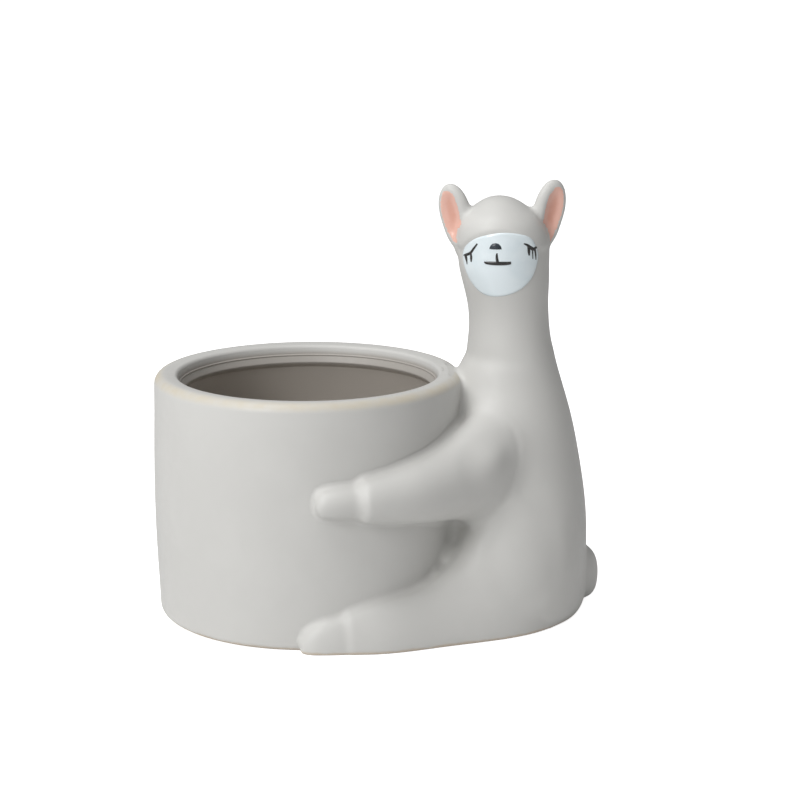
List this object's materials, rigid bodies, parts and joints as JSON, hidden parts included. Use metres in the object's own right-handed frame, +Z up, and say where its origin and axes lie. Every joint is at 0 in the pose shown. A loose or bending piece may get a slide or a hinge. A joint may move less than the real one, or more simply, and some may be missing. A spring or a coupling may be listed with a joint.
{
  "type": "animal shaped planter",
  "caption": "Small round ceramic plant pot hugged by a sitting alpaca whose neck and head rise beside the rim; open bowl with a drain hole.",
  "frame": {"origin": "middle of the base's bounding box, on the plane that the planter stands on", "axes": "+Z up; +X from the pot's axis towards the animal; the near flank, which the face turns to, is on the -Y side"},
  "size_m": [0.1016, 0.0766, 0.0976],
  "materials": {
    "matte_glaze": "satin matt stone glaze, warm at the rims",
    "pink_glaze": "gloss",
    "white_glaze": "gloss",
    "black_enamel": "gloss"
  },
  "bodies": {
    "root": {"face_glaze": "white_glaze", "left_ear": "matte_glaze", "left_ear_lining": "pink_glaze", "left_eye": "black_enamel", "left_fore_hoof": "matte_glaze", "left_foreleg": "matte_glaze", "left_hind_hoof": "matte_glaze", "left_hind_leg": "matte_glaze", "mouth": "black_enamel", "neck_and_head": "matte_glaze", "nose": "black_enamel", "pot": "matte_glaze", "right_ear": "matte_glaze", "right_ear_lining": "pink_glaze", "right_eye": "black_enamel", "right_fore_hoof": "matte_glaze", "right_foreleg": "matte_glaze", "right_hind_hoof": "matte_glaze", "right_hind_leg": "matte_glaze", "tail": "matte_glaze", "torso": "matte_glaze"}
  },
  "joints": []
}
